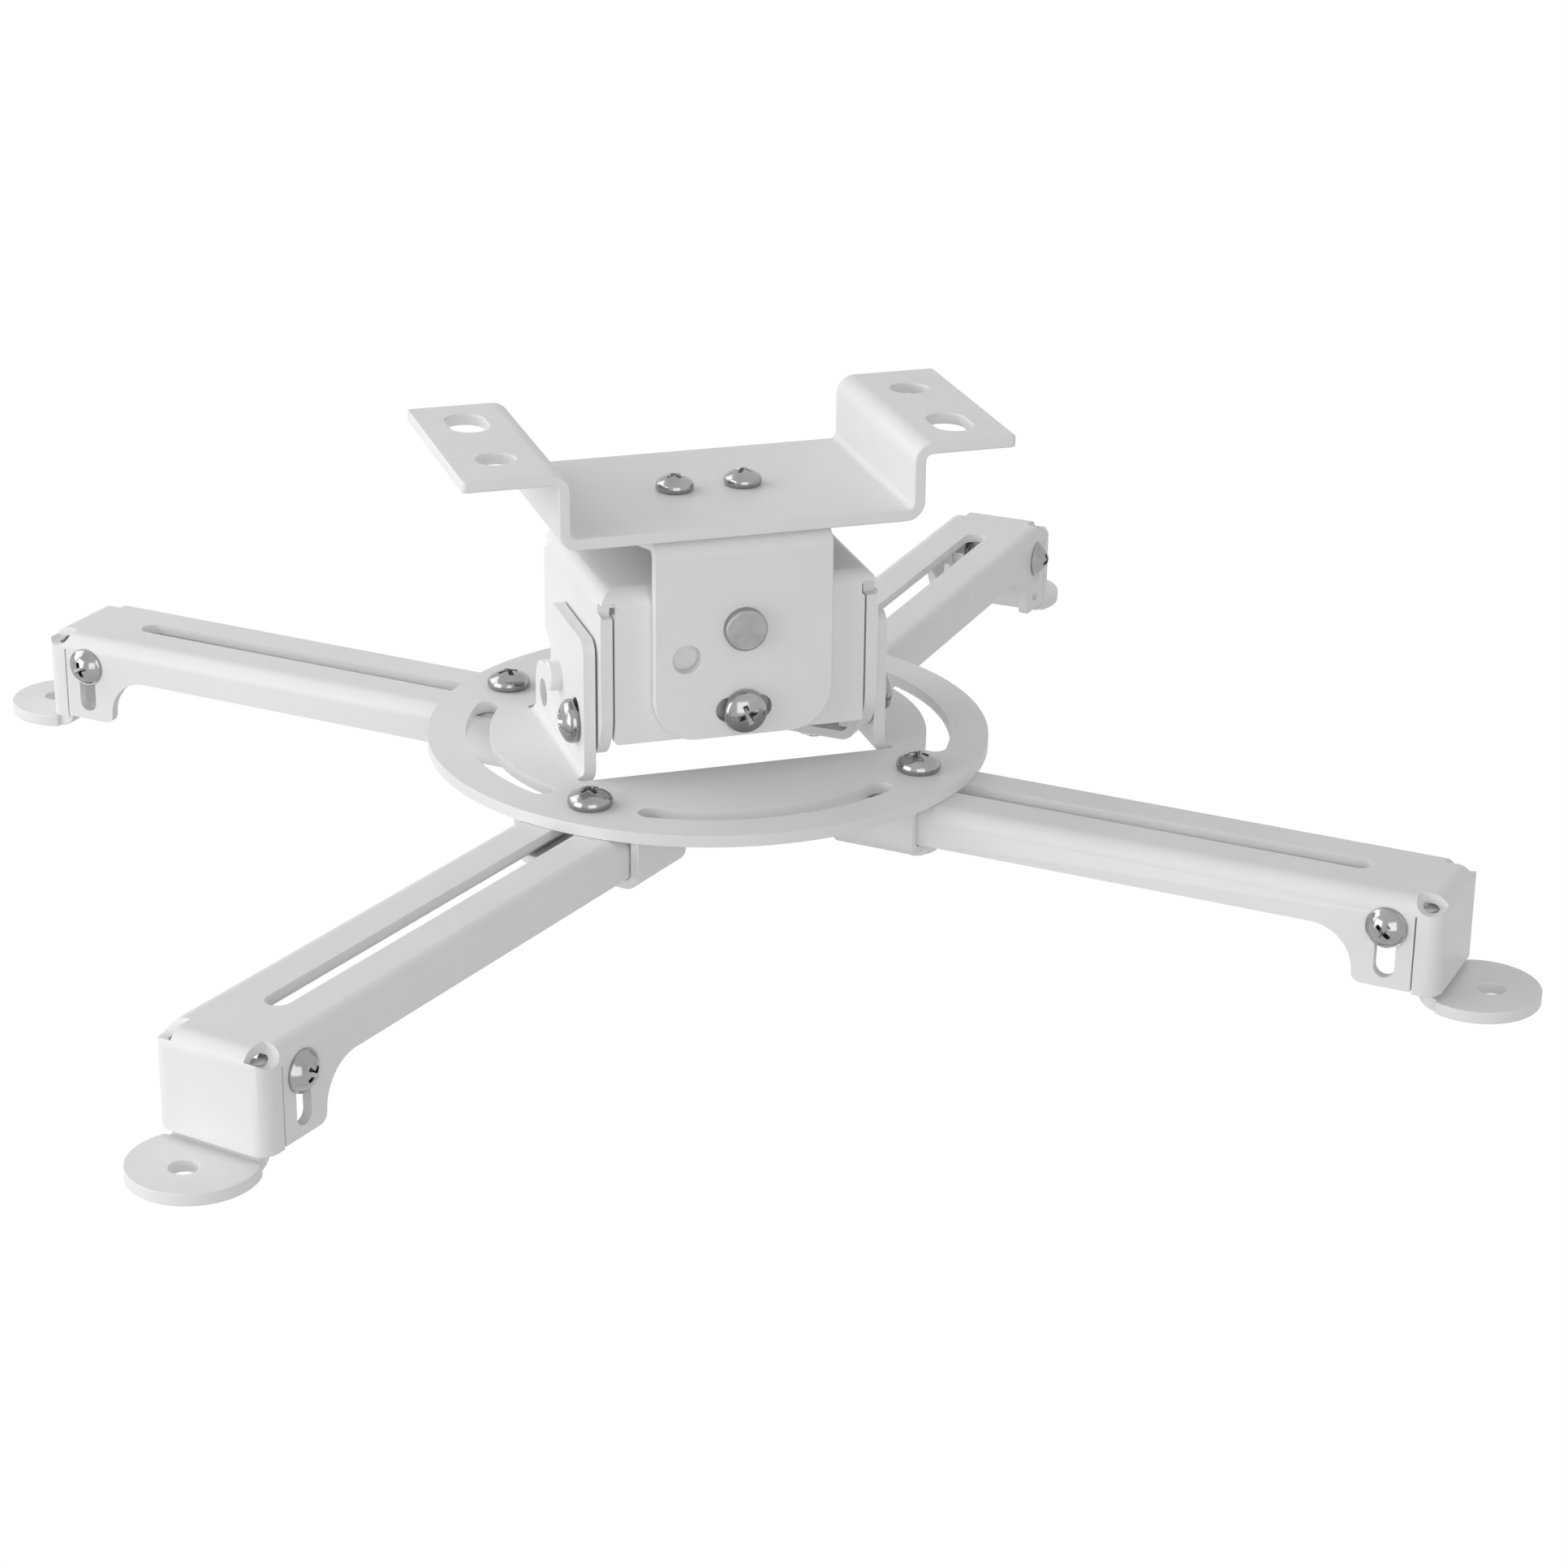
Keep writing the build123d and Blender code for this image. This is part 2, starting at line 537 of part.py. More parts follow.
def foot():
    """Round tab, a back plate behind the cap and two wings along the inside of the arm's walls."""
    face = -THIN - FOOT_REAR_GAP
    half = ARM_HALF - THIN - FOOT_SIDE_GAP
    top = WING_TOP
    wing_low = -LEG_SLOT_DROP - WING_R
    tab_end = FOOT_OUT + FOOT_R
    low = FOOT_TOP - SHEET
    line = [(tab_end + 1, low), (face - SHEET, low), (face - SHEET, top)]
    line.reverse()
    body = along(Plane.XZ, folded(line, SHEET), FOOT_R + 1)
    fold_end = face + BEND
    tab = Pos(FOOT_OUT, 0) * Circle(FOOT_R)
    tab -= Pos(fold_end - FOOT_R, 0) * Rectangle(2 * FOOT_R, 2 * FOOT_R)
    neck_half = ARM_HALF - THIN - corner_gap(FOOT_REAR_GAP)
    neck = Pos((face - SHEET + FOOT_OUT) / 2, 0) * Rectangle(FOOT_OUT - face + SHEET, 2 * neck_half)
    body &= along(Plane.XY, tab + neck, REACH)
    bend_start = half - BEND - SHEET
    body -= Pos(face, 0, top) * Box(4 * SHEET, 2 * ARM_WIDTH, 2 * (top - wing_low + WING_GAP)) \
        - Pos(face, 0, top) * Box(4 * SHEET, 2 * bend_start, 4 * CAP_DROP)
    back = -LEG_SLOT_IN - WING_R
    wings = [(back, -half), (face, -half), (face, half), (back, half)]
    ends = [(back, wing_low), (back, top), (face, top), (face, wing_low)]
    strip = along(Plane.XY, folded(wings, SHEET), REACH)
    strip &= along(Plane.XZ, rounded(ends, [WING_ROUND, WING_ROUND, 0, 0]), ARM_WIDTH)
    body += strip
    body -= Pos(FOOT_HOLE_OUT, 0, low) * Cylinder(FOOT_HOLE / 2, 4 * SHEET)
    body -= along(Plane.XZ, Pos(-LEG_SLOT_IN, -LEG_SLOT_DROP) * Circle(M4 / 2), ARM_WIDTH)
    return body


def foot_screws(side):
    length = THIN + FOOT_SIDE_GAP + SHEET + M4_NUT_H + TIP
    body = screw(M4, ROUND_HEAD, ROUND_HEAD_H, length)
    return facing_y(body, -LEG_SLOT_IN, ARM_HALF, -LEG_SLOT_DROP, side)


def foot_nuts(side):
    body = nut(M4_NUT, M4_NUT_H, M4)
    inside = ARM_HALF - THIN - FOOT_SIDE_GAP - SHEET - M4_NUT_H
    return facing_y(body, -LEG_SLOT_IN, inside, -LEG_SLOT_DROP, side)


def sleeve():
    """Channel open upward that hangs round the arm below the disc screw; z = 0 is the arm's top."""
    inner = ARM_HALF + SLEEVE_GAP
    floor = SLEEVE_FLOOR
    outer = inner + THIN
    line = [(-outer, ARM_GAP), (-outer, floor - THIN), (outer, floor - THIN), (outer, ARM_GAP)]
    length = SLEEVE_INNER + SLEEVE_OUTER
    body = along(Plane.YZ, folded(line, THIN), length / 2)
    body = Pos((SLEEVE_OUTER - SLEEVE_INNER) / 2, 0, 0) * body
    return body - Pos(0, 0, floor) * Cylinder(M5 / 2 + FREE, 4 * THIN)


def arm_screw():
    grip = SHEET + ARM_GAP - SLEEVE_FLOOR + THIN
    body = screw(M5, M5_HEAD, M5_HEAD_H, grip + M5_NUT_H + TIP)
    return Pos(0, 0, SHEET + ARM_GAP) * body


def arm_nut():
    bottom = SLEEVE_FLOOR - THIN - M5_NUT_H
    return Pos(0, 0, bottom) * nut(M5_NUT, M5_NUT_H, M5)


def pair(build):
    """The same piece at both sides, as one group of separate solids."""
    return Compound(children=[build(-1), build(1)])


pieces = {
    "ceiling_bracket": ceiling_bracket(),
    "plate_screws": pair(plate_screws),
    "plate_nuts": pair(plate_nuts),
    "yoke": yoke(),
    "tilt_rivets": pair(tilt_rivets),
    "tilt_clamp_screws": pair(tilt_clamp_screws),
    "tilt_clamp_nuts": pair(tilt_clamp_nuts),
    "tilt_block": tilt_block(),
    "roll_pins": pair(roll_pins),
    "roll_clamp_screws": pair(roll_clamp_screws),
    "roll_clamp_nuts": pair(roll_clamp_nuts),
    "disc_bracket": disc_bracket(),
}

at_arm = {
    "arm": arm(),
    "foot": foot(),
    "foot_screws": pair(foot_screws),
    "foot_nuts": pair(foot_nuts),
}
at_screw = {
    "sleeve": sleeve(),
    "arm_screw": arm_screw(),
    "arm_nut": arm_nut(),
}
for name, hole_angle, angle, pushed in ARMS:
    for kind, piece in at_arm.items():
        placed = on_arm(piece, hole_angle, angle, ARM_STOP - pushed)
        pieces[kind + "_" + name] = Pos(0, 0, ARM_TOP) * placed
    for kind, piece in at_screw.items():
        placed = on_arm(piece, hole_angle, angle, 0)
        pieces[kind + "_" + name] = Pos(0, 0, ARM_TOP) * placed

os.makedirs("parts", exist_ok=True)
for node, shape in pieces.items():
    export_step(shape, f"parts/{node}.step")
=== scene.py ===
import json
import math

import bmesh
import bpy
from mathutils import Matrix, Vector


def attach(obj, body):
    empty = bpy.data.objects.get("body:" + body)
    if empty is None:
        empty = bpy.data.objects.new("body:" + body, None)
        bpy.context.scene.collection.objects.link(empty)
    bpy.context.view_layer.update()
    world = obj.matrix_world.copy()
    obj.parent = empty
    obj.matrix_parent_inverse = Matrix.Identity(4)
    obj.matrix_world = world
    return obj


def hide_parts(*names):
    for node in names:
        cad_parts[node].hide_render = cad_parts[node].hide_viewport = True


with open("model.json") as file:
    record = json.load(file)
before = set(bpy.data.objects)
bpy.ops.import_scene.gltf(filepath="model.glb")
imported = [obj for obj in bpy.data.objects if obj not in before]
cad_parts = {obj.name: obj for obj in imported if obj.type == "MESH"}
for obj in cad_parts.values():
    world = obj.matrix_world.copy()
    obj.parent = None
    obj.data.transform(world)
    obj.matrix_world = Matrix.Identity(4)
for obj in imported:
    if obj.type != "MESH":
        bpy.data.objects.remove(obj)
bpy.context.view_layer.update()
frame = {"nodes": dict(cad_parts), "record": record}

nodes = frame["nodes"]
record = frame["record"]
body_of_node = {}
for body, members in record["behaviour"]["bodies"].items():
    for member in members:
        body_of_node[member] = body

scene = bpy.context.scene
MM = 0.001
UP = Vector((0, 0, 1))
ALONG_X = Vector((1, 0, 0))
ALONG_Y = Vector((0, 1, 0))
DISC_TOP = -67.8 * MM

# Painted edges, in millimetres: how far the paint rounds them, and what counts as one point
PAINT_EDGE = 0.25
THICK_PAINT_EDGE = 0.4
THICK_PAINTED = ("ceiling_bracket", "disc_bracket")
SAME_POINT = 0.002

# Painted edges, in degrees: faces below the first are one flat face, edges above the second are rounded
FLAT_BELOW = 0.4
EDGE_ABOVE = 38
EDGE_STEPS = 3

# Screws, in millimetres
M4_PITCH = 0.7
M5_PITCH = 0.8
RIM_HEIGHT = 0.5
RIM_ROUND = 0.12
HEAD_EDGE = 0.09
TIP_SLICE = 0.1

# Screws: share of the pitch that a thread is deep, and steps round a head
THREAD_DEPTH = 0.58
HEAD_TURNS = 72

# Size of a screw's cross against the smallest one, and how far each cross is turned, in degrees
PLATE_CROSS = 2.2
CLAMP_CROSS = 2.5
FOOT_CROSS = 2.0
PLATE_SPINS = (24, 51)
TILT_SPINS = (20, 10)
ROLL_SPINS = (15, 40)
ARM_SPINS = {"front_left": 20, "front_right": 48, "back_left": 5, "back_right": 33}

# Light: strength of the room, and for each lamp its azimuth and elevation in degrees,
# its power in watts and its distance from the disc in metres
ROOM_LIGHT = 0.47
LAMP_SIZE = 0.9
LAMPS = {
    "front_light": (-5, 10, 3.6, 1.3),
    "left_light": (-80, 10, 6.0, 1.2),
    "back_left_light": (-130, 30, 4.6, 1.2),
}

# Floor, in metres
FLOOR_SIZE = 12.0
FLOOR_BELOW = 2.4

# Camera, solved from the photograph: angles in degrees, distances in millimetres from the disc's top
AZIMUTH = -17.6
ELEVATION = 22.33
ROLL = 0.62
DISTANCE = 810.0
SHIFT_RIGHT = 16.24
SHIFT_UP = -12.39
LENS = 86.74
SENSOR = 36


# Materials

def new_material(name):
    material = bpy.data.materials.new(name)
    material.use_nodes = True
    tree = material.node_tree
    return material, tree, tree.nodes["Principled BSDF"]


def noise(tree, scale, detail, coords):
    texture = tree.nodes.new("ShaderNodeTexNoise")
    texture.inputs["Scale"].default_value = scale
    texture.inputs["Detail"].default_value = detail
    tree.links.new(coords, texture.inputs["Vector"])
    return texture.outputs["Fac"]


def ramp(tree, value, stops):
    mix = tree.nodes.new("ShaderNodeValToRGB")
    for i, (place, colour) in enumerate(stops):
        stop = mix.color_ramp.elements[i]
        stop.position = place
        stop.color = (*colour, 1)
    tree.links.new(value, mix.inputs["Fac"])
    return mix.outputs["Color"]


def spread(tree, value, low, high):
    scale = tree.nodes.new("ShaderNodeMapRange")
    scale.inputs["To Min"].default_value = low
    scale.inputs["To Max"].default_value = high
    tree.links.new(value, scale.inputs["Value"])
    return scale.outputs["Result"]


def relief(tree, shader, height, strength, depth):
    """Fine bump of a depth in millimetres."""
    bump = tree.nodes.new("ShaderNodeBump")
    bump.inputs["Strength"].default_value = strength
    bump.inputs["Distance"].default_value = depth * MM
    tree.links.new(height, bump.inputs["Height"])
    tree.links.new(bump.outputs["Normal"], shader.inputs["Normal"])


def powder_coat():
    """White powder coat: a faint orange peel and a slight unevenness of tone and gloss."""
    material, tree, shader = new_material("white_powder_coat")
    coords = tree.nodes.new("ShaderNodeTexCoord").outputs["Object"]
    cloud = noise(tree, 38, 3, coords)
    tone = ramp(tree, cloud, [(0.30, (0.800, 0.797, 0.790)), (0.72, (0.835, 0.832, 0.826))])
    tree.links.new(tone, shader.inputs["Base Color"])
    gloss = spread(tree, noise(tree, 210, 2, coords), 0.38, 0.52)
    tree.links.new(gloss, shader.inputs["Roughness"])
    relief(tree, shader, noise(tree, 900, 2, coords), 0.10, 0.08)
    shader.inputs["IOR"].default_value = 1.48
    return material


def plated(name, dark, light, rough):
    """Plated steel between two tones, with fine wear in its gloss."""
    material, tree, shader = new_material(name)
    coords = tree.nodes.new("ShaderNodeTexCoord").outputs["Object"]
    tone = ramp(tree, noise(tree, 260, 3, coords), [(0.3, dark), (0.7, light)])
    tree.links.new(tone, shader.inputs["Base Color"])
    shader.inputs["Metallic"].default_value = 1.0
    gloss = spread(tree, noise(tree, 520, 4, coords), rough, rough + 0.08)
    tree.links.new(gloss, shader.inputs["Roughness"])
    relief(tree, shader, noise(tree, 1500, 2, coords), 0.06, 0.04)
    return material


WHITE = powder_coat()
# Painted shade: both nickel tones are set far below real nickel, so the screws and rivets look as dark
# as if a dark room were reflected in them
BRIGHT = plated("bright_nickel", (0.30, 0.298, 0.294), (0.38, 0.378, 0.373), 0.12)
SATIN = plated("satin_nickel", (0.31, 0.305, 0.30), (0.38, 0.375, 0.37), 0.42)
ZINC = plated("zinc_plate", (0.52, 0.52, 0.53), (0.64, 0.64, 0.64), 0.40)


def dress(obj, material):
    obj.data.materials.clear()
    obj.data.materials.append(material)


for name, obj in nodes.items():
    if "nut" in name:
        dress(obj, ZINC)
    elif "rivet" in name:
        dress(obj, SATIN)
    elif "screw" in name:
        dress(obj, BRIGHT)
    else:
        dress(obj, WHITE)


# Painted sheet with softened edges

def softened(name):
    """Stand a copy with the rounded edges that paint gives in the place of a sheet node."""
    mesh = nodes[name].data.copy()
    mesh.name = name + "_painted"
    form = bmesh.new()
    form.from_mesh(mesh)
    bmesh.ops.remove_doubles(form, verts=form.verts, dist=SAME_POINT * MM)
    flat = math.radians(FLAT_BELOW)
    bmesh.ops.dissolve_limit(form, angle_limit=flat, verts=form.verts, edges=form.edges)
    for face in form.faces:
        face.smooth = True
    form.to_mesh(mesh)
    form.free()
    obj = bpy.data.objects.new(name + "_painted", mesh)
    scene.collection.objects.link(obj)
    bevel = obj.modifiers.new("soft_edge", "BEVEL")
    bevel.width = (THICK_PAINT_EDGE if name in THICK_PAINTED else PAINT_EDGE) * MM
    bevel.segments = EDGE_STEPS
    bevel.limit_method = "ANGLE"
    bevel.angle_limit = math.radians(EDGE_ABOVE)
    bevel.use_clamp_overlap = name != "ceiling_bracket"
    bevel.miter_outer = "MITER_ARC"
    even = obj.modifiers.new("even_normals", "WEIGHTED_NORMAL")
    even.mode = "FACE_AREA"
    even.weight = 100
    dress(obj, WHITE)
    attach(obj, body_of_node[name])
    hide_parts(name)


for name in list(nodes):
    if nodes[name].data.materials[0] is WHITE:
        softened(name)


# Screws with cross recesses and threads, sized and placed by the solids that they replace

def join_rings(form, rings, turns):
    """Faces between neighbouring rings of vertices; a ring of one vertex is a tip."""
    for upper, lower in zip(rings, rings[1:]):
        for i in range(turns):
            j = (i + 1) % turns
            if len(upper) == 1:
                form.faces.new((upper[0], lower[i], lower[j]))
            elif len(lower) == 1:
                form.faces.new((upper[i], lower[0], upper[j]))
            else:
                form.faces.new((upper[i], lower[i], lower[j], upper[j]))


def lathe(form, profile, turns):
    """Surface of revolution about Z from a profile of (radius, height); radius 0 closes it."""
    rings = []
    for radius, height in profile:
        if radius == 0:
            rings.append([form.verts.new((0, 0, height))])
            continue
        ring = []
        for i in range(turns):
            angle = 2 * math.pi * i / turns
            ring.append(form.verts.new((radius * math.cos(angle), radius * math.sin(angle), height)))
        rings.append(ring)
    join_rings(form, rings, turns)


def thread(form, radius, pitch, length, turns=28, steps=6):
    """Threaded shank below z = 0, chamfered at its tip; steps counts the rings in one pitch."""
    depth = THREAD_DEPTH * pitch
    steepness = 1.25
    crest = 0.12
    tip_depth = 0.9
    count = int(length / pitch * steps)
    rings = []
    for k in range(count + 1):
        height = -length * k / count
        end = length * (count - k) / count
        ring = []
        for i in range(turns):
            phase = (-height / pitch + i / turns) % 1
            flank = abs(2 * phase - 1)
            out = radius - depth * min(1, max(0, steepness * flank - crest))
            out = min(out, radius - depth * tip_depth + end)
            angle = 2 * math.pi * i / turns
            ring.append(form.verts.new((out * math.cos(angle), out * math.sin(angle), height)))
        rings.append(ring)
    rings.append([form.verts.new((0, 0, -length))])
    join_rings(form, rings, turns)


def dome_profile(radius, top, crown, steps=14):
    """Shallow spherical cap from its middle at height top down to its edge."""
    sphere = (radius ** 2 + crown ** 2) / (2 * crown)
    points = [(0, top)]
    for k in range(1, steps + 1):
        r = radius * k / steps
        points.append((r, top - sphere + math.sqrt(sphere ** 2 - r ** 2)))
    return points


def pan_profile(radius, height):
    """Pan head: a low dome with a clear edge above a bulging side; its numbers are shares of it."""
    side = 0.6 * height
    dome_width = 0.9
    waist = 0.42
    drawn_in_above = 0.10
    drawn_in_below = 0.07
    steps = 12
    points = dome_profile(dome_width * radius, height, height - side)
    for k in range(1, steps + 1):
        share = 1 - k / steps
        if share > waist:
            drawn_in = drawn_in_above * ((share - waist) / (1 - waist)) ** 2
        else:
            drawn_in = drawn_in_below * ((waist - share) / waist) ** 2
        points.append((radius * (1 - drawn_in), side * share))
    points.append((0, 0))
    return points


def rimmed_profile(radius, height):
    """Domed head that stands on a thin round rim."""
    dome_width = 0.94
    crease_width = 0.955
    crease_drop = 0.04
    chamfer = 0.08
    points = dome_profile(dome_width * radius, height, height - RIM_HEIGHT)
    points.append((crease_width * radius, RIM_HEIGHT - crease_drop))
    for angle in (75, 50, 25, 0):
        out = RIM_ROUND * math.cos(math.radians(angle))
        rise = RIM_ROUND * math.sin(math.radians(angle))
        points.append((radius - RIM_ROUND + out, RIM_HEIGHT - RIM_ROUND + rise))
    points.append((radius, chamfer))
    points.append((radius - chamfer, 0))
    points.append((0, 0))
    return points


def cross_cutter(cross):
    """Tapered cross that cuts a recess of size cross; its mouth lies above z = 0."""
    form = bmesh.new()
    # Height, then half the length and half the width of an arm of the smallest cross
    rings = ((0.8, 1.16, 0.25), (-0.1, 1.0, 0.23), (-0.82 * cross, 0.37, 0.16))
    for turn in (0, 90):
        spin = Matrix.Rotation(math.radians(turn), 4, "Z")
        corners = []
        for height, end, half in rings:
            end *= cross
            half *= cross
            ring = [(end, half), (-end, half), (-end, -half), (end, -half)]
            corners.append([form.verts.new(spin @ Vector((x, y, height))) for x, y in ring])
        form.faces.new(corners[0][::-1])
        form.faces.new(corners[-1])
        for upper, lower in zip(corners, corners[1:]):
            for i in range(4):
                j = (i + 1) % 4
                form.faces.new((upper[i], upper[j], lower[j], lower[i]))
    bmesh.ops.recalc_face_normals(form, faces=form.faces)
    mesh = bpy.data.meshes.new("cross_cutter")
    form.to_mesh(mesh)
    form.free()
    return bpy.data.objects.new("cross_cutter", mesh)


def screw_mesh(name, size, pitch, profile, cross):
    """Whole screw in millimetres: head above z = 0 with its recess, threaded shank below."""
    form = bmesh.new()
    lathe(form, profile(size["head"], size["height"]), HEAD_TURNS)
    bmesh.ops.recalc_face_normals(form, faces=form.faces)
    mesh = bpy.data.meshes.new(name)
    form.to_mesh(mesh)
    form.free()
    obj = bpy.data.objects.new(name, mesh)
    cutter = cross_cutter(cross)
    cutter.location = (0, 0, size["height"])
    scene.collection.objects.link(obj)
    scene.collection.objects.link(cutter)
    cut = obj.modifiers.new("recess", "BOOLEAN")
    cut.object = cutter
    cut.operation = "DIFFERENCE"
    cut.solver = "EXACT"
    cut.use_self = True
    edge = obj.modifiers.new("edge", "BEVEL")
    edge.width = HEAD_EDGE
    edge.segments = 2
    edge.limit_method = "ANGLE"
    edge.angle_limit = math.radians(40)
    bpy.context.view_layer.update()
    shaped = obj.evaluated_get(bpy.context.evaluated_depsgraph_get())
    form = bmesh.new()
    form.from_mesh(shaped.to_mesh())
    thread(form, size["shank"], pitch, size["length"])
    for face in form.faces:
        face.smooth = True
    bpy.data.objects.remove(obj)
    bpy.data.objects.remove(cutter)
    result = bpy.data.meshes.new(name)
    form.to_mesh(result)
    form.free()
    return result


def measured(points, out):
    """Seat and sizes in millimetres of the screw that the points belong to; its head faces out."""
    flat = [point - out * point.dot(out) for point in points]
    low = Vector([min(point[i] for point in flat) for i in range(3)])
    high = Vector([max(point[i] for point in flat) for i in range(3)])
    axis = (low + high) / 2
    reach = [point.dot(out) for point in points]
    radius = [(point - axis).length for point in flat]
    head = max(radius)
    tip = min(reach)
    shank = max(r for r, along in zip(radius, reach) if along - tip < TIP_SLICE * MM)
    seat = min(along for r, along in zip(radius, reach) if r > (head + shank) / 2)
    return {
        "seat": (axis + out * seat) / MM,
        "out": out,
        "head": head / MM,
        "height": (max(reach) - seat) / MM,
        "shank": shank / MM,
        "length": (seat - tip) / MM,
    }


def screws_of(node, out, apart):
    """Sizes of each screw of a node: apart is the line on which its two screws lie, or None."""
    obj = nodes[node]
    points = [obj.matrix_world @ vert.co for vert in obj.data.vertices]
    if apart is None:
        return [measured(points, out)]
    reach = [point.dot(apart) for point in points]
    middle = (min(reach) + max(reach)) / 2
    found = []
    for side in (-1, 1):
        half = [point for point, along in zip(points, reach) if side * (along - middle) > 0]
        found.append(measured(half, out if out is not None else apart * side))
    return found


def facing(size, spin):
    """Matrix in millimetres that stands a screw on its seat, turned by spin degrees."""
    turn = UP.rotation_difference(size["out"]).to_matrix().to_4x4()
    return Matrix.Translation(size["seat"]) @ turn @ Matrix.Rotation(math.radians(spin), 4, "Z")


def stand_screws(node, pitch, spins, cross, out=None, apart=None, profile=pan_profile):
    """Replace a node of plain screws by detailed ones; spins turns each cross in degrees."""
    form = bmesh.new()
    for size, spin in zip(screws_of(node, out, apart), spins):
        mesh = screw_mesh(node, size, pitch, profile, cross)
        start = len(form.verts)
        form.from_mesh(mesh)
        form.verts.ensure_lookup_table()
        place = Matrix.Diagonal((MM, MM, MM, 1)) @ facing(size, spin)
        bmesh.ops.transform(form, matrix=place, verts=form.verts[start:])
    result = bpy.data.meshes.new(node + "_detailed")
    form.to_mesh(result)
    form.free()
    result.set_sharp_from_angle(angle=math.radians(35))
    obj = bpy.data.objects.new(node + "_detailed", result)
    scene.collection.objects.link(obj)
    dress(obj, BRIGHT)
    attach(obj, body_of_node[node])
    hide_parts(node)


stand_screws("plate_screws", M4_PITCH, PLATE_SPINS, PLATE_CROSS, out=UP, apart=ALONG_X)
stand_screws("tilt_clamp_screws", M5_PITCH, TILT_SPINS, CLAMP_CROSS, apart=ALONG_Y)
stand_screws("roll_clamp_screws", M5_PITCH, ROLL_SPINS, CLAMP_CROSS, apart=ALONG_X)

slide_axis = {}
for joint in record["behaviour"]["joints"]:
    if joint["type"] == "slide":
        slide_axis[joint["name"]] = Vector(joint["axis"])
for name, spin in ARM_SPINS.items():
    across = UP.cross(slide_axis["slide_" + name])
    foot_spins = (2 * spin, spin - 30)
    stand_screws("arm_screw_" + name, M5_PITCH, (spin,), CLAMP_CROSS, out=UP)
    foot_screws = "foot_screws_" + name
    stand_screws(foot_screws, M4_PITCH, foot_spins, FOOT_CROSS, apart=across, profile=rimmed_profile)


# Stage, light and camera

def direction(azimuth, elevation):
    """Unit vector away from the mount; azimuth 0 is in front and -90 at the left."""
    turn = math.radians(azimuth)
    lift = math.radians(elevation)
    return Vector((math.sin(turn) * math.cos(lift), -math.cos(turn) * math.cos(lift), math.sin(lift)))


def show_white(tree, lit, seen, output):
    """Camera, mirrors and glass show the shader seen; the light on the mount comes from lit."""
    path = tree.nodes.new("ShaderNodeLightPath")
    mirrored = tree.nodes.new("ShaderNodeMath")
    mirrored.operation = "MAXIMUM"
    tree.links.new(path.outputs["Is Glossy Ray"], mirrored.inputs[0])
    tree.links.new(path.outputs["Is Transmission Ray"], mirrored.inputs[1])
    mask = tree.nodes.new("ShaderNodeMath")
    mask.operation = "MAXIMUM"
    tree.links.new(path.outputs["Is Camera Ray"], mask.inputs[0])
    tree.links.new(mirrored.outputs["Value"], mask.inputs[1])
    pick = tree.nodes.new("ShaderNodeMixShader")
    tree.links.new(mask.outputs["Value"], pick.inputs["Fac"])
    tree.links.new(lit.outputs[0], pick.inputs[1])
    tree.links.new(seen.outputs[0], pick.inputs[2])
    out = tree.nodes.new(output)
    tree.links.new(pick.outputs["Shader"], out.inputs["Surface"])


def white_room():
    """World that is pure white to look at, also in metal, and lights the mount softly."""
    world = bpy.data.worlds.new("white_room")
    scene.world = world
    world.use_nodes = True
    tree = world.node_tree
    tree.nodes.clear()
    lit = tree.nodes.new("ShaderNodeBackground")
    lit.inputs["Color"].default_value = (0.98, 0.99, 1.0, 1)
    lit.inputs["Strength"].default_value = ROOM_LIGHT
    seen = tree.nodes.new("ShaderNodeBackground")
    seen.inputs["Color"].default_value = (1, 1, 1, 1)
    seen.inputs["Strength"].default_value = 1.0
    show_white(tree, lit, seen, "ShaderNodeOutputWorld")


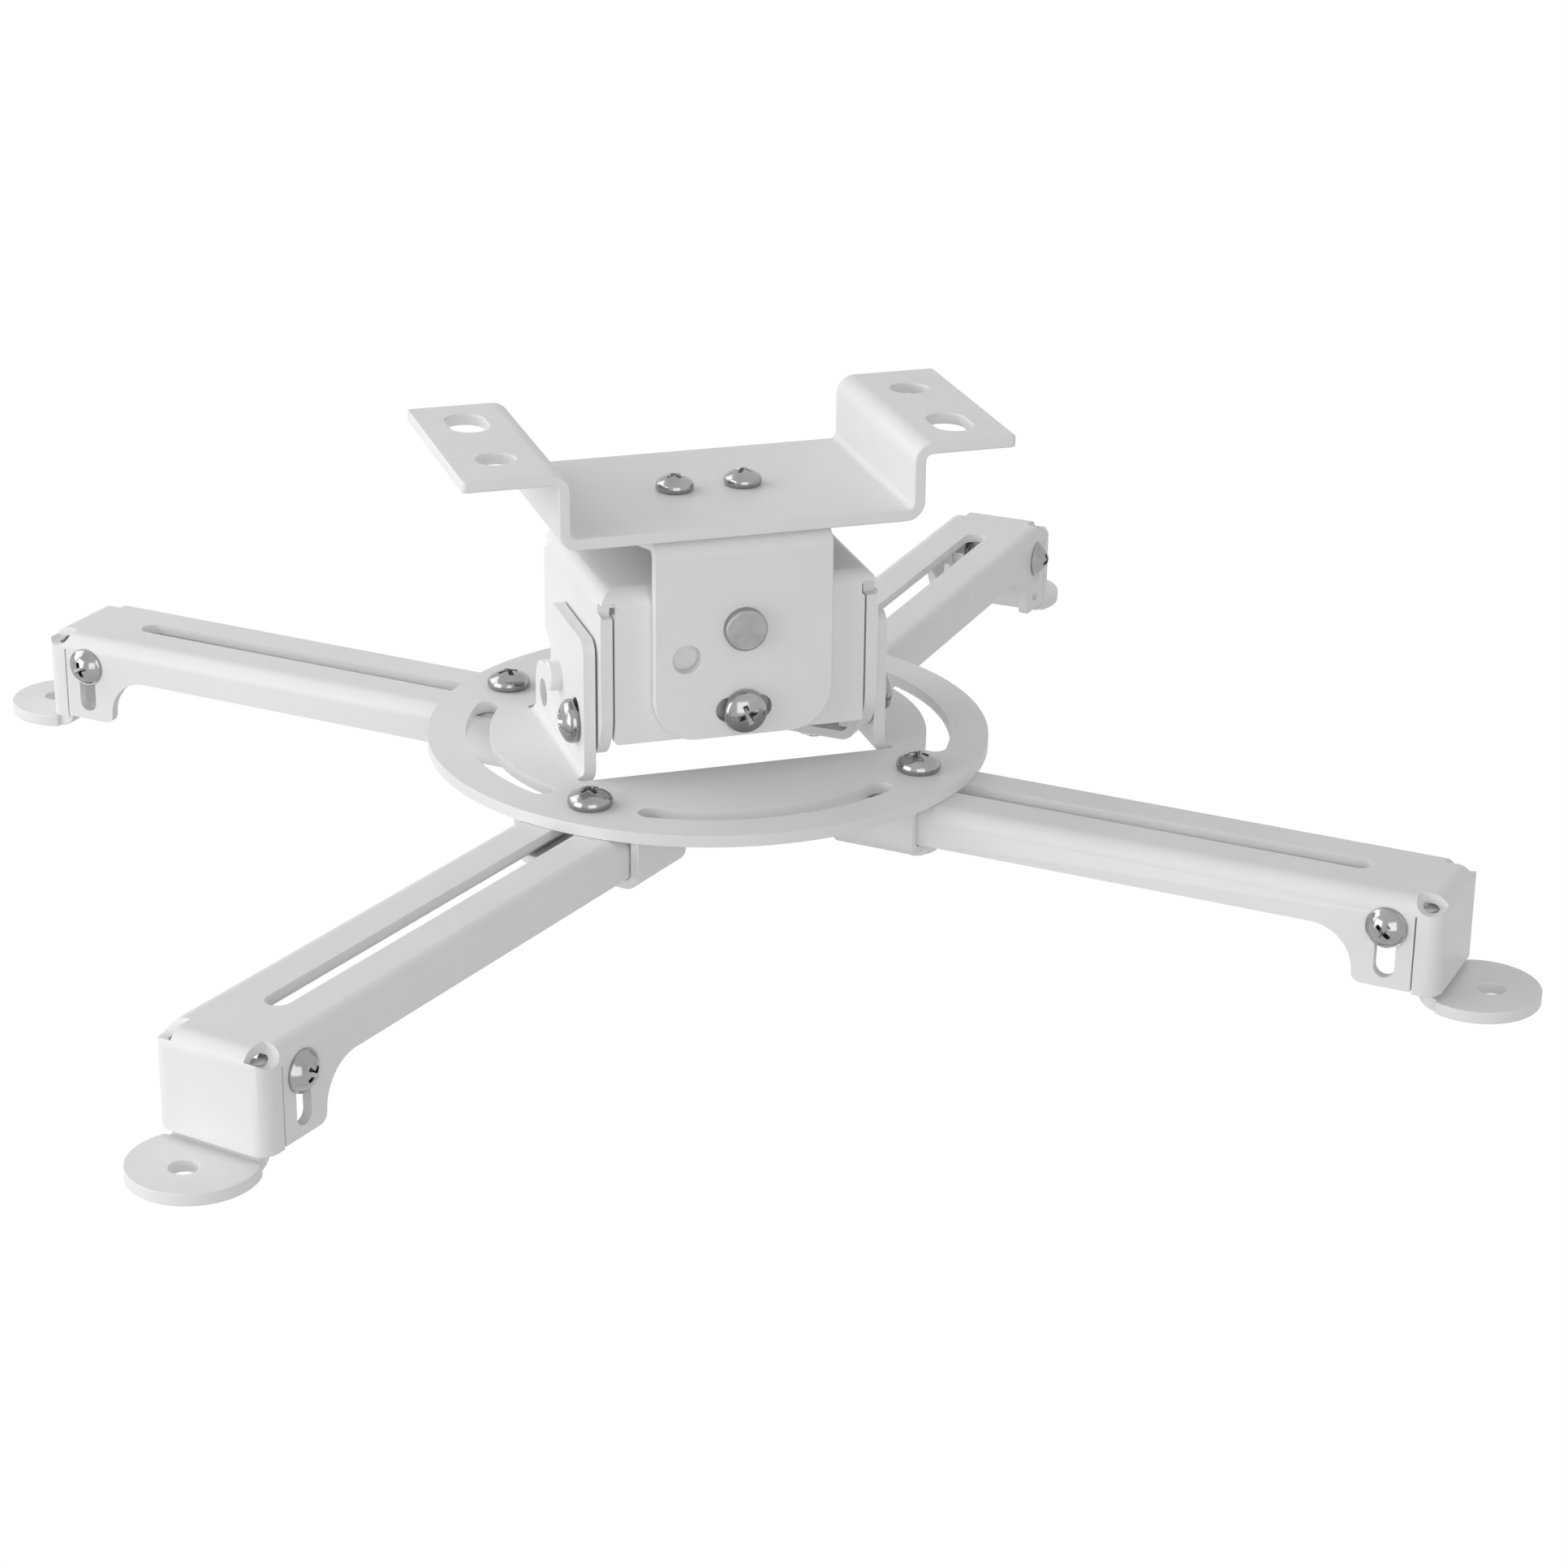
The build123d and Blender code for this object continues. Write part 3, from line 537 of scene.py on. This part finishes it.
def pale_floor():
    """Floor of the room, far below the mount, as white as the room round it."""
    half = FLOOR_SIZE / 2
    corners = [(-half, -half, 0), (half, -half, 0), (half, half, 0), (-half, half, 0)]
    mesh = bpy.data.meshes.new("floor")
    mesh.from_pydata(corners, [], [(0, 1, 2, 3)])
    material = bpy.data.materials.new("pale_floor")
    material.use_nodes = True
    tree = material.node_tree
    tree.nodes.clear()
    lit = tree.nodes.new("ShaderNodeBsdfDiffuse")
    lit.inputs["Color"].default_value = (0.85, 0.85, 0.85, 1)
    seen = tree.nodes.new("ShaderNodeEmission")
    seen.inputs["Color"].default_value = (1, 1, 1, 1)
    seen.inputs["Strength"].default_value = 1.0
    show_white(tree, lit, seen, "ShaderNodeOutputMaterial")
    mesh.materials.append(material)
    obj = bpy.data.objects.new("floor", mesh)
    scene.collection.objects.link(obj)
    obj.location.z = -FLOOR_BELOW


def softbox(name, azimuth, elevation, power, distance):
    """Square lamp that faces the middle of the disc."""
    light = bpy.data.lights.new(name, "AREA")
    light.shape = "RECTANGLE"
    light.size = LAMP_SIZE
    light.size_y = LAMP_SIZE
    light.energy = power
    obj = bpy.data.objects.new(name, light)
    scene.collection.objects.link(obj)
    away = direction(azimuth, elevation)
    obj.location = Vector((0, 0, DISC_TOP)) + away * distance
    obj.rotation_euler = (-away).to_track_quat("-Z", "Y").to_euler()


white_room()
pale_floor()
for name, lamp in LAMPS.items():
    softbox(name, *lamp)

camera_data = bpy.data.cameras.new("camera")
camera = bpy.data.objects.new("camera", camera_data)
scene.collection.objects.link(camera)
back = direction(AZIMUTH, ELEVATION)
right = (-back).cross(UP).normalized()
up = back.cross(right)
roll = math.radians(ROLL)
turned_right = right * math.cos(roll) + up * math.sin(roll)
turned_up = up * math.cos(roll) - right * math.sin(roll)
place = (turned_right * SHIFT_RIGHT + turned_up * SHIFT_UP + back * DISTANCE) * MM
place += Vector((0, 0, DISC_TOP))
axes = Matrix((turned_right, turned_up, back)).transposed()
camera.matrix_world = Matrix.Translation(place) @ axes.to_4x4()
camera_data.lens = LENS
camera_data.sensor_width = SENSOR
camera_data.dof.use_dof = False
scene.camera = camera

scene.view_settings.view_transform = "Standard"
